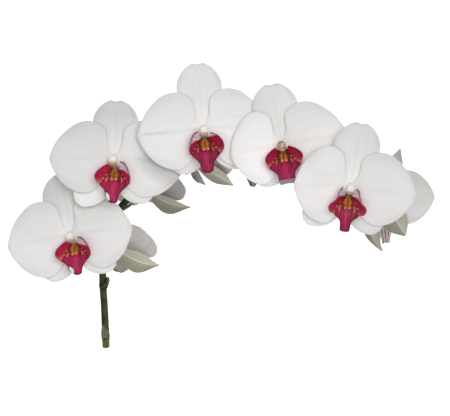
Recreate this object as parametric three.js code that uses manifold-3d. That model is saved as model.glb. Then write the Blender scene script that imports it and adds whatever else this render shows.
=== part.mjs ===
// Moth orchid: one cut flower stem with ten blooms, lying down.
// The arching stem carries its blooms in two ranks. Blooms a to e face up,
// blooms f to j face down and rest on the surface with their lowest petals.
// Millimetres, +Z up, the stem's tip towards +X.
import * as THREE from "three";
import Module from "manifold-3d";

const wasm = await Module();
wasm.setup();

const GAP = 0.3;
const WHITE = 0xf2f1ec;
const MAGENTA = 0xa8164f;
const ORANGE = 0xd08a35;
const GREEN = 0x4c5a2a;

// Petals
const PETAL_THICKNESS = 0.8;
const PETAL_ARCH = 3;
const PETAL_REFLEX = 2.5;
const PETAL_WAVE = 1.2;
const PETAL_FRONT = 1.4;
const PETAL_TIP_BOW = 1.2;
const PETAL_UPPER = [[2, 3], [7, 14], [8.5, 27], [21, 34.5], [35, 32], [48, 20.5], [55, 9], [57.5, 1]];
const PETAL_LOWER = [[2, -2], [6, -13], [12, -26], [23, -34.5], [36, -32], [47, -24], [55, -12], [57.5, -5]];

// Sepals: half width against the distance from the flower's centre
const SEPAL_THICKNESS = 0.8;
const SEPAL_BACK = -1.2;
const SEPAL_CUP = 1.4;
const SEPAL_WAVE = 0.7;
const DORSAL_NOTCH = 1.2;
const SEPAL_POINT = 6;
const DORSAL_HALF = [[0, 4.5], [9, 9], [19, 15.5], [29, 19.8], [38, 20.4], [46, 17], [52, 11.5], [55.6, 5]];
const LATERAL_HALF = [[0, 4], [9, 8], [19, 13], [29, 15.8], [38, 15], [45, 11.5], [50, 7], [52.5, 3]];
const LATERAL_ANGLE = 36;

// Column, the receptacle behind it and the foot that carries the lip
const COLUMN_RADIUS = 3.6;
const COLUMN_LENGTH = 11.5;
const COLUMN_TILT = 28;
const RECEPTACLE_RADIUS = 5.2;
const RECEPTACLE_DEPTH = 4.5;
const FOOT = { y: -6.5, z: 0.6, radius: 4, height: 3.2 };

// Lip: tongue edge as half width, y, z; side lobes as lower and free edges
const LIP_THICKNESS = 0.9;
const TONGUE_EDGE = [
  [3.5, -7.5, 4.7],
  [7, -12, 5.6],
  [10.5, -17, 8.2],
  [13.8, -22.5, 10.5],
  [11, -28, 12.2],
  [7.2, -32.5, 12.8],
  [5.2, -36.5, 12],
  [4.2, -40.5, 10.5],
];
const TONGUE_HOLLOW = 1.6;
const TONGUE_NOTCH = 0.9;
const LOBE_BASE = [[3.2, -7.3, 4.8], [6.5, -9.5, 5.2], [8.2, -13.5, 6.2], [9.5, -18, 8.4]];
const LOBE_EDGE = [[5.4, -3.8, 9.5], [9.8, -7.6, 14], [14, -12.8, 16.3], [15.8, -18.4, 15], [13.8, -23, 11.8]];
const LOBE_BULGE = 1.6;

// Callus: two small crests in the throat of the lip
const CALLUS_REACH = [0.16, 0.36];
const CALLUS_SPREAD = 0.34;
const CALLUS_HEIGHT = 3.4;
const CALLUS_LIFT = LIP_THICKNESS / 2 + GAP + 0.7;

// Flower stem: centre line and radius
const STEM_LINE = [
  [-111.8, -130.1, 2.7, 2.9],
  [-111.9, -114.2, 10, 2.9],
  [-112.3, -90.3, 22, 2.8],
  [-112.9, -71.3, 33, 2.8],
  [-112.2, -52.4, 46, 2.8],
  [-109.3, -31.9, 66, 2.7],
  [-101.7, -12.7, 82, 2.6],
  [-90, 5.4, 89, 2.6],
  [-71, 25.2, 92, 2.5],
  [-45, 40.5, 93, 2.4],
  [-13.5, 47.6, 94, 2.3],
  [22.5, 47.6, 94, 2.2],
  [63, 37.8, 93, 2],
  [99, 23.4, 90, 1.9],
  [129.3, 9, 82, 1.7],
  [148.2, 0.9, 70, 1.3],
];
const STEM_SIDES = 8;
const STEM_STEPS = 34;
const SHEATH = { from: 0.57, to: 1.3, swell: 1.2, steps: 4 };

// Stalk of each bloom: thick where it leaves the stem, slim, then the ovary
const PEDICEL_RADII = [[0, 2.3], [1, 1.5], [2, 1.5], [3, 2]];
const PEDICEL_SIDES = 6;
const PEDICEL_STEPS = 6;
const PEDICEL_LEAVE = 5;
const OVARY_LENGTH = 14;

// Blooms: place of the flower's centre, spin in its own plane, tilt of its face away
// from straight up or down and the compass direction it tilts toward (degrees), size
// against the usual bloom, and where its stalk leaves the stem, counted in points of
// the centre line. Petals and lateral sepals are listed left, then right, as seen on
// the bloom's own face. Blooms with back set face down and settle to the surface.
const BLOOMS = [
  {
    name: "a",
    at: [-138.1, -24.2, 98],
    spin: 10,
    tilt: 5,
    toward: 180,
    from: 5.2,
    petals: [{}, { reach: 0.95 }],
    laterals: [{ reach: 0.87 }, { turn: -6, reach: 0.93 }],
    lip: { length: 0.9 },
  },
  {
    name: "b",
    at: [-98.8, 44.5, 112],
    spin: -2,
    tilt: 5,
    toward: 180,
    from: 8.2,
    petals: [{ height: 0.94 }, { reach: 1.1, bend: -6 }],
    dorsal: { reach: 0.93 },
    laterals: [{}, { turn: -5, reach: 0.94 }],
  },
  {
    name: "c",
    at: [-19.5, 70.1, 120],
    spin: 5,
    tilt: 5,
    toward: 0,
    from: 9.3,
    petals: [{}, { bend: -4 }],
    dorsal: { reach: 1.06 },
    laterals: [{ reach: 0.86 }, { turn: -3, reach: 1.04 }],
  },
  {
    name: "d",
    at: [49.7, 55.9, 124],
    spin: 9,
    tilt: 4,
    toward: 90,
    from: 11.2,
    petals: [{ reach: 0.78, height: 0.95 }, { reach: 1.02, lift: 2 }],
    laterals: [{ reach: 0.8 }, { reach: 0.7 }],
    lip: { length: 0.87 },
  },
  {
    name: "e",
    at: [110, 19.4, 137],
    spin: -7,
    tilt: 8,
    toward: -90,
    from: 12.6,
    petals: [{ reach: 0.85, lift: -3, bend: 4 }, { height: 0.95 }],
    dorsal: { turn: -3, reach: 1.02 },
    laterals: [{ turn: -8, reach: 0.97 }, { reach: 0.92 }],
  },
  {
    name: "f",
    at: [147.9, 9.3, 25],
    spin: -17,
    tilt: 30,
    toward: -60,
    size: 0.82,
    from: 14.6,
    petals: [{ lift: 16 }, {}],
    dorsal: { turn: -1, reach: 1.05, width: 0.55, point: 0.9 },
    laterals: [{ turn: -6, reach: 1.0, width: 0.85, point: 0.6 }, { turn: 37, reach: 1.0, width: 0.55, twist: 25, bend: 34, point: 0.6 }],
    lip: { turn: -21, length: 1.35 },
    back: true,
  },
  {
    name: "g",
    at: [-104.5, -34.1, 40],
    spin: 34,
    tilt: 60,
    toward: 70,
    size: 0.9,
    from: 3.0,
    petals: [{ reach: 0.9, lift: 8, bend: 4 }, { bend: -14 }],
    laterals: [{ turn: 3, reach: 0.93, width: 1.3, twist: -18, point: 0.8 }, { reach: 0.94, bend: -3 }],
    back: true,
  },
  {
    name: "h",
    at: [-76.3, 18.5, 40],
    spin: 35,
    tilt: 60,
    toward: 70,
    size: 0.9,
    from: 6.8,
    petals: [{ reach: 0.9, lift: 4, bend: 2 }, { height: 0.85, lift: 16 }],
    laterals: [{ turn: 1, reach: 0.93, width: 1.2, twist: -18, point: 0.8 }, { reach: 0.66, bend: 9 }],
    back: true,
  },
  {
    name: "i",
    at: [-32.5, 48.2, 40],
    spin: 21,
    tilt: 62,
    toward: 57,
    size: 0.9,
    from: 8.8,
    petals: [{ reach: 0.86, lift: 12 }, { reach: 0.75, lift: 16, bend: -6 }],
    laterals: [{ point: 0.5 }, { turn: 16, reach: 0.9, width: 0.68, twist: 21, bend: 3.5 }],
    back: true,
  },
  {
    name: "j",
    at: [34, 53.2, 30],
    spin: 0,
    tilt: 52,
    toward: 90,
    size: 0.8,
    from: 10.7,
    laterals: [{}, { turn: 22, reach: 0.85, bend: -18 }],
    petals: [{}, { reach: 0.93 }],
    back: true,
  },
];
const FRONT_CELLS = { petal: [6, 4], sepal: [5, 4], tongue: [5, 4], lobe: [3, 3], callus: [2, 4] };
const BACK_CELLS = { petal: [5, 4], sepal: [4, 3], tongue: [4, 4], lobe: [3, 2], callus: [2, 2] };
const ROUND_SIDES = 6;

const radians = THREE.MathUtils.degToRad;
const FACING = new THREE.Vector3(0, 0, 1);
const ALONG = new THREE.Vector3(0, 1, 0);

// Solids from bare points and triangles
function solidFrom(points, triangles) {
  const vertProperties = new Float32Array(points.flatMap((p) => [p.x, p.y, p.z]));
  const triVerts = new Uint32Array(triangles.flat());
  return new wasm.Manifold(new wasm.Mesh({ numProp: 3, vertProperties, triVerts }));
}

// Closed solid between two grids of points that match one to one
function between(top, bottom, cellsU, cellsV) {
  const row = cellsV + 1;
  const under = top.length;
  const triangles = [];
  for (let i = 0; i < cellsU; i++) {
    for (let j = 0; j < cellsV; j++) {
      const a = i * row + j;
      const b = a + row;
      triangles.push([a, b, b + 1], [a, b + 1, a + 1]);
      triangles.push([under + a, under + b + 1, under + b], [under + a, under + a + 1, under + b + 1]);
    }
    const first = i * row;
    const last = first + cellsV;
    triangles.push([first, under + first, under + first + row], [first, under + first + row, first + row]);
    triangles.push([last, under + last + row, under + last], [last, last + row, under + last + row]);
  }
  for (let j = 0; j < cellsV; j++) {
    const end = cellsU * row + j;
    triangles.push([j, j + 1, under + j + 1], [j, under + j + 1, under + j]);
    triangles.push([end, under + end + 1, end + 1], [end, under + end, under + end + 1]);
  }
  return solidFrom([...top, ...bottom], triangles);
}

function normalAt(surface, u, v) {
  const step = 0.01;
  const alongU = surface(Math.min(1, u + step), v).sub(surface(Math.max(0, u - step), v));
  const alongV = surface(u, Math.min(1, v + step)).sub(surface(u, Math.max(0, v - step)));
  return alongU.cross(alongV).normalize();
}

// Blade of even thickness round a curved surface; u and v run from 0 to 1
function blade(surface, [cellsU, cellsV], thickness) {
  const top = [];
  const bottom = [];
  for (let i = 0; i <= cellsU; i++) {
    for (let j = 0; j <= cellsV; j++) {
      const point = surface(i / cellsU, j / cellsV);
      const half = normalAt(surface, i / cellsU, j / cellsV).multiplyScalar(thickness / 2);
      top.push(point.clone().add(half));
      bottom.push(point.sub(half));
    }
  }
  return between(top, bottom, cellsU, cellsV);
}

// Smooth line through a few points
function lineThrough(points) {
  const corners = points.map(([x, y, z = 0]) => new THREE.Vector3(x, y, z));
  const curve = new THREE.CatmullRomCurve3(corners, false, "catmullrom", 0.5);
  return (u) => curve.getPoint(u);
}

// Round stalk along a line, with a radius at each step, closed at both ends
function stalk(centreAt, radiusAt, steps, sides) {
  const points = [];
  let side = null;
  for (let i = 0; i <= steps; i++) {
    const u = i / steps;
    const ahead = centreAt(Math.min(1, u + 0.01)).sub(centreAt(Math.max(0, u - 0.01))).normalize();
    side = side ?? new THREE.Vector3(0, 0, 1);
    side = side.clone().addScaledVector(ahead, -side.dot(ahead)).normalize();
    const across = ahead.clone().cross(side);
    const centre = centreAt(u);
    for (let k = 0; k < sides; k++) {
      const turn = (2 * Math.PI * k) / sides;
      const out = side.clone().multiplyScalar(Math.cos(turn)).addScaledVector(across, Math.sin(turn));
      points.push(centre.clone().addScaledVector(out, radiusAt(u)));
    }
  }
  const start = points.push(centreAt(0)) - 1;
  const end = points.push(centreAt(1)) - 1;
  const triangles = [];
  for (let k = 0; k < sides; k++) {
    const next = (k + 1) % sides;
    for (let i = 0; i < steps; i++) {
      const a = i * sides + k;
      const b = i * sides + next;
      triangles.push([a, b, b + sides], [a, b + sides, a + sides]);
    }
    triangles.push([start, next, k]);
    triangles.push([end, steps * sides + k, steps * sides + next]);
  }
  return solidFrom(points, triangles);
}

// Rounded body turned about Z from a closed profile of radius and height
function turned(profile, segments) {
  const rings = profile.slice(1, -1);
  const points = [new THREE.Vector3(0, 0, profile[0][1])];
  for (const [radius, height] of rings) {
    for (let k = 0; k < segments; k++) {
      const turn = (2 * Math.PI * k) / segments;
      points.push(new THREE.Vector3(radius * Math.cos(turn), radius * Math.sin(turn), height));
    }
  }
  const top = points.push(new THREE.Vector3(0, 0, profile[profile.length - 1][1])) - 1;
  const triangles = [];
  for (let k = 0; k < segments; k++) {
    const next = (k + 1) % segments;
    triangles.push([0, 1 + next, 1 + k]);
    for (let r = 0; r < rings.length - 1; r++) {
      const a = 1 + r * segments + k;
      const b = 1 + r * segments + next;
      triangles.push([a, b, b + segments], [a, b + segments, a + segments]);
    }
    const last = 1 + (rings.length - 1) * segments;
    triangles.push([top, last + k, last + next]);
  }
  return solidFrom(points, triangles);
}

// Petal: two edge lines from the claw to the tip, arched, turned back and waved
function petalSurface(side, { reach = 1, height = 1, lift = 0, bend = 0 }) {
  const upper = lineThrough(PETAL_UPPER);
  const lower = lineThrough(PETAL_LOWER);
  return (u, v) => {
    const point = lower(u).lerp(upper(u), v);
    const across = 2 * v - 1;
    point.x += PETAL_TIP_BOW * (1 - across * across) * u ** 4;
    const wave = Math.sin(2.5 * Math.PI * u + (v > 0.5 ? 0.4 : 2.2)) * across ** 4 * Math.min(1, 3 * u);
    point.z = PETAL_FRONT + PETAL_ARCH * Math.sin(Math.PI * u) * (1 - 0.8 * across * across);
    point.z += PETAL_WAVE * wave + (bend - PETAL_REFLEX) * u * u;
    point.x *= reach;
    point.y *= height;
    point.applyAxisAngle(FACING, radians(lift));
    point.x *= side;
    return point;
  };
}

// Sepal: straight from the centre, widest past the middle, slightly cupped
function sepalSurface(halves, angle, { reach = 1, width = 1, bend = 0, twist = 0, point: sharp = 0 }, notch = 0) {
  const edge = lineThrough(halves);
  return (u, v) => {
    const across = 2 * v - 1;
    const at = edge(u);
    const along = at.x + (sharp * SEPAL_POINT - notch * (1 - Math.abs(across))) * u ** 8;
    const half = at.y * width * (1 - 0.8 * sharp * u ** 5);
    const wave = Math.sin(3 * Math.PI * u + (across > 0 ? 0 : 1.4)) * across ** 4 * u;
    const rise = SEPAL_WAVE * wave - SEPAL_CUP * across * across * Math.sin(Math.PI * u);
    const point = new THREE.Vector3(-across * half, 0, rise);
    point.applyAxisAngle(ALONG, radians(twist * Math.min(1, 2 * u)));
    point.add(new THREE.Vector3(0, along * reach, SEPAL_BACK + bend * u * u));
    return point.applyAxisAngle(FACING, radians(angle));
  };
}

function tongueSurface() {
  const edge = lineThrough(TONGUE_EDGE);
  return (u, v) => {
    const across = 2 * v - 1;
    const at = edge(u);
    const y = at.y + TONGUE_NOTCH * (1 - Math.abs(across)) * u ** 6;
    return new THREE.Vector3(across * at.x, y, at.z - TONGUE_HOLLOW * (1 - across * across) * Math.sin(Math.PI * u));
  };
}

function lobeSurface(side) {
  const base = lineThrough(LOBE_BASE);
  const edge = lineThrough(LOBE_EDGE);
  return (u, v) => {
    const point = base(u).lerp(edge(u), v);
    point.x += LOBE_BULGE * Math.sin(Math.PI * v) * (0.4 + 0.6 * u);
    point.z -= LOBE_BULGE * Math.sin(Math.PI * v) * u;
    point.x *= side;
    return point;
  };
}

// White body of one bloom: two petals, three sepals, column and receptacle in one
function perianth(bloom, cells) {
  const { petals = [{}, {}], dorsal = {}, laterals = [{}, {}] } = bloom;
  const parts = [
    blade(petalSurface(-1, petals[0]), cells.petal, PETAL_THICKNESS),
    blade(petalSurface(1, petals[1]), cells.petal, PETAL_THICKNESS),
    blade(sepalSurface(DORSAL_HALF, dorsal.turn ?? 0, dorsal, DORSAL_NOTCH), cells.sepal, SEPAL_THICKNESS),
  ];
  for (const k of [0, 1]) {
    const turn = (k ? -1 : 1) * (180 - LATERAL_ANGLE + (laterals[k].turn ?? 0));
    parts.push(blade(sepalSurface(LATERAL_HALF, turn, laterals[k]), cells.sepal, SEPAL_THICKNESS));
  }
  const r = RECEPTACLE_RADIUS;
  parts.push(turned([[0, -RECEPTACLE_DEPTH], [r * 0.6, -RECEPTACLE_DEPTH], [r, -1.5], [r, 1.6], [0, 3]], ROUND_SIDES));
  const c = COLUMN_RADIUS;
  const column = turned(
    [[0, -1], [c * 0.9, 0], [c * 0.8, COLUMN_LENGTH * 0.5], [c, COLUMN_LENGTH * 0.85], [0, COLUMN_LENGTH]],
    ROUND_SIDES,
  );
  parts.push(column.rotate([COLUMN_TILT, 0, 0]));
  const f = FOOT;
  const foot = turned([[0, -f.height], [f.radius, 0], [f.radius * 0.7, f.height * 0.8], [0, f.height]], ROUND_SIDES);
  parts.push(foot.translate([0, f.y, f.z]));
  return wasm.Manifold.union(parts);
}

function lip(cells) {
  return wasm.Manifold.union([
    blade(tongueSurface(), cells.tongue, LIP_THICKNESS),
    blade(lobeSurface(-1), cells.lobe, LIP_THICKNESS),
    blade(lobeSurface(1), cells.lobe, LIP_THICKNESS),
  ]);
}

// A lip turned and sized about the point where it sits on the column's foot
function lipPlace({ size = 1, length = 1, turn = 0 } = {}) {
  const [, y, z] = TONGUE_EDGE[0];
  const matrix = new THREE.Matrix4().makeTranslation(0, y, z);
  matrix.multiply(new THREE.Matrix4().makeRotationZ(radians(turn)));
  matrix.scale(new THREE.Vector3(size, size * length, 1));
  return matrix.multiply(new THREE.Matrix4().makeTranslation(0, -y, -z));
}

// Callus: a low pad just over the tongue that swells into two crests
function callus([cellsU, cellsV]) {
  const tongue = tongueSurface();
  const [from, to] = CALLUS_REACH;
  const top = [];
  const bottom = [];
  for (let i = 0; i <= cellsU; i++) {
    for (let j = 0; j <= cellsV; j++) {
      const u = from + ((to - from) * i) / cellsU;
      const across = (2 * j) / cellsV - 1;
      const point = tongue(u, 0.5 + across * CALLUS_SPREAD * 0.5);
      const normal = normalAt(tongue, u, 0.5);
      if (normal.z < 0) normal.negate();
      const swell = Math.sin((Math.PI * (i + 0.6)) / (cellsU + 1.2)) * (0.35 + 0.65 * Math.abs(Math.sin(Math.PI * across)));
      bottom.push(point.clone().addScaledVector(normal, CALLUS_LIFT));
      top.push(point.clone().addScaledVector(normal, CALLUS_LIFT + 0.7 + CALLUS_HEIGHT * swell));
    }
  }
  return between(top, bottom, cellsU, cellsV);
}

// Each bloom in its place on the stem
function placed({ at, spin, tilt, toward, size = 1, back = false }) {
  const face = back ? -1 : 1;
  const hinge = new THREE.Vector3(-Math.sin(radians(toward)), Math.cos(radians(toward)), 0).multiplyScalar(face);
  const matrix = new THREE.Matrix4().makeRotationAxis(hinge, radians(tilt));
  matrix.multiply(new THREE.Matrix4().makeRotationZ(radians(spin)));
  if (back) matrix.multiply(new THREE.Matrix4().makeRotationY(Math.PI));
  matrix.scale(new THREE.Vector3(size, size, size));
  matrix.setPosition(...at);
  return matrix;
}

const moved = (solid, matrix) => solid.transform(matrix.toArray());
const pieces = [];
const seats = [];
for (const bloom of BLOOMS) {
  const cells = bloom.back ? BACK_CELLS : FRONT_CELLS;
  const matrix = placed(bloom);
  let body = moved(perianth(bloom, cells), matrix);
  const lipMatrix = matrix.clone().multiply(lipPlace(bloom.lip));
  let lipBody = moved(lip(cells), lipMatrix);
  let callusBody = moved(callus(cells.callus), lipMatrix);
  if (bloom.back) {
    const lowest = Math.min(body.boundingBox().min[2], lipBody.boundingBox().min[2]);
    const drop = new THREE.Matrix4().makeTranslation(0, 0, -lowest);
    matrix.premultiply(drop);
    body = moved(body, drop);
    lipBody = moved(lipBody, drop);
    callusBody = moved(callusBody, drop);
  }
  pieces.push([`bloom_${bloom.name}_perianth`, body, WHITE]);
  pieces.push([`bloom_${bloom.name}_lip`, lipBody, MAGENTA]);
  pieces.push([`bloom_${bloom.name}_callus`, callusBody, ORANGE]);
  seats.push({ from: bloom.from, matrix });
}

// The flower stem with its sheath and the stalks of the blooms, grown as one
const perPoint = 1 / (STEM_LINE.length - 1);
const stemLine = lineThrough(STEM_LINE);
const stemRadii = lineThrough(STEM_LINE.map(([, , , radius], k) => [k, radius]));
const stemParts = [stalk(stemLine, (u) => stemRadii(u).y, STEM_STEPS, STEM_SIDES)];

const alongSheath = (u) => (SHEATH.from + (SHEATH.to - SHEATH.from) * u) * perPoint;
const sheathRadius = (u) => stemRadii(alongSheath(u)).y + SHEATH.swell * Math.sin(Math.PI * (0.1 + 0.8 * u));
stemParts.push(stalk((u) => stemLine(alongSheath(u)), sheathRadius, SHEATH.steps, STEM_SIDES));

const pedicelRadii = lineThrough(PEDICEL_RADII);
for (const { from, matrix } of seats) {
  const start = stemLine(from * perPoint);
  const end = new THREE.Vector3(0, 0, -RECEPTACLE_DEPTH - GAP).applyMatrix4(matrix);
  const behind = new THREE.Vector3(0, 0, -RECEPTACLE_DEPTH - GAP - OVARY_LENGTH).applyMatrix4(matrix);
  const ahead = stemLine((from + 0.05) * perPoint).sub(stemLine((from - 0.05) * perPoint)).normalize();
  const leave = start.clone().addScaledVector(ahead, PEDICEL_LEAVE).lerp(behind, 0.25);
  const line = lineThrough([start, leave, behind, end].map((p) => p.toArray()));
  stemParts.push(stalk(line, (u) => pedicelRadii(u).y, PEDICEL_STEPS, PEDICEL_SIDES));
}
pieces.push(["stem", wasm.Manifold.union(stemParts), GREEN]);

function meshOf(name, solid, colour) {
  const { vertProperties, triVerts, numProp } = solid.getMesh();
  const positions = new Float32Array((vertProperties.length / numProp) * 3);
  for (let i = 0; i < positions.length / 3; i++) {
    positions.set(vertProperties.subarray(i * numProp, i * numProp + 3), i * 3);
  }
  const geometry = new THREE.BufferGeometry();
  geometry.setAttribute("position", new THREE.BufferAttribute(positions, 3));
  geometry.setIndex(new THREE.BufferAttribute(new Uint32Array(triVerts), 1));
  const mesh = new THREE.Mesh(geometry, new THREE.MeshStandardMaterial({ color: colour, roughness: 0.6 }));
  mesh.name = name;
  return mesh;
}

const orchid = new THREE.Group();
for (const [name, solid, colour] of pieces) orchid.add(meshOf(name, solid, colour));
const box = new THREE.Box3().setFromObject(orchid, true);
orchid.position.set(-(box.min.x + box.max.x) / 2, -(box.min.y + box.max.y) / 2, -box.min.z);

export default orchid;
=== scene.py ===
"""A cut moth orchid stem, lying on a pale surface and seen from straight above.

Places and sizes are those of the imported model, in millimetres. Each visible piece
below stands in the place of a plain solid: the flower stem first, with its stalks,
then the white flower bodies, their lips and the callus in each throat.
"""
import math

import bpy
from mathutils import Matrix, Vector


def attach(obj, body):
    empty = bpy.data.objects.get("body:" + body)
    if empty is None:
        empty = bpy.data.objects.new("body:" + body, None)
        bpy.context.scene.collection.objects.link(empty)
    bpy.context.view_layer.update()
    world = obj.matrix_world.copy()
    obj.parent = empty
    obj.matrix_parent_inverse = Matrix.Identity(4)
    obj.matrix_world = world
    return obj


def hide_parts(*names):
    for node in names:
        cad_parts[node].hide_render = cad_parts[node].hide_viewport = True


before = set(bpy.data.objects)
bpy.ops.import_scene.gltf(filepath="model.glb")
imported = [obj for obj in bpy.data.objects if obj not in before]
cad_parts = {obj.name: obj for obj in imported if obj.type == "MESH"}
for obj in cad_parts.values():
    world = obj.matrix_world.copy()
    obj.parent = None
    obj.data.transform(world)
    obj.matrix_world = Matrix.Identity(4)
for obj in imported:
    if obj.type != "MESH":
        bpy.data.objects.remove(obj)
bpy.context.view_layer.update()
MM = 0.001

# The surface under the stem: a plain white sheet of matt card, wide enough that
# its edge never shows. It carries a little light of its own so that it stays white.
CARD_WIDTH = 12000
CARD_GREY = 0.9
CARD_GLOW = 0.7
bpy.ops.object.select_all(action="DESELECT")
bpy.ops.mesh.primitive_plane_add(size=CARD_WIDTH * MM, location=(0, 0, 0))
card = bpy.context.object
card.name = "white_card"
card_finish = bpy.data.materials.new("matt_white_card")
card_finish.use_nodes = True
card_shader = card_finish.node_tree.nodes["Principled BSDF"]
card_shader.inputs["Base Color"].default_value = (CARD_GREY, CARD_GREY, CARD_GREY, 1)
card_shader.inputs["Roughness"].default_value = 0.9
card_shader.inputs["Emission Color"].default_value = (1, 1, 1, 1)
card_shader.inputs["Emission Strength"].default_value = CARD_GLOW
card.data.materials.append(card_finish)

# The camera: straight above the stem at about two metres, so that the blooms are
# seen face on. The point below it is the middle of the photo's frame.
VIEW_CENTRE = Vector((0.6235, 0.9253, 0))
VIEW_HEIGHT = 2090
VIEW_LENS = 177.8
VIEW_SENSOR = 36
bpy.ops.object.camera_add(location=(VIEW_CENTRE + Vector((0, 0, VIEW_HEIGHT))) * MM, rotation=(0, 0, 0))
viewer = bpy.context.object
viewer.name = "viewer"
viewer.data.lens = VIEW_LENS
viewer.data.sensor_width = VIEW_SENSOR
bpy.context.scene.camera = viewer
bpy.context.scene.view_settings.view_transform = "Standard"

# The flower stem: one fleshy green shoot, thick at the cut end, that rises, arches
# over the lower blooms and tapers to its tip. A papery sheath wraps it low down, and
# each bloom grows from it on a slim stalk that thickens into the ovary.
STEM_LINE = [
    (-111.8, -130.1, 2.7, 2.9),
    (-111.9, -114.2, 10, 2.9),
    (-112.3, -90.3, 22, 2.8),
    (-112.9, -71.3, 33, 2.8),
    (-112.2, -52.4, 46, 2.8),
    (-109.3, -31.9, 66, 2.7),
    (-101.7, -12.7, 82, 2.6),
    (-90, 5.4, 89, 2.6),
    (-71, 25.2, 92, 2.5),
    (-45, 40.5, 93, 2.4),
    (-13.5, 47.6, 94, 2.3),
    (22.5, 47.6, 94, 2.2),
    (63, 37.8, 93, 2),
    (99, 23.4, 90, 1.9),
    (129.3, 9, 82, 1.7),
    (148.2, 0.9, 70, 1.3),
]
STEM = {"plump": 1.18, "swell": 0.4, "most_swell": 0.5, "rib": 0.06, "bare_node": 0.62}
SHEATH = {"from": 0.57, "to": 1.3, "swell": 1.2, "roll": 1.04, "slit": 0.35, "light": 0.42}
BRACT_LIGHT = 0.35
PAPER_WALL = 0.35
STALK_RADII = [(2.3, 0), (1.5, 0), (1.5, 0), (2, 0)]
STALK_LEAVE = 5
STALK_GAP = 0.3
OVARY_LENGTH = 14
OVARY_RIB = 0.26
RECEPTACLE_DEPTH = 4.5
LOWEST = 0.05

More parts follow.
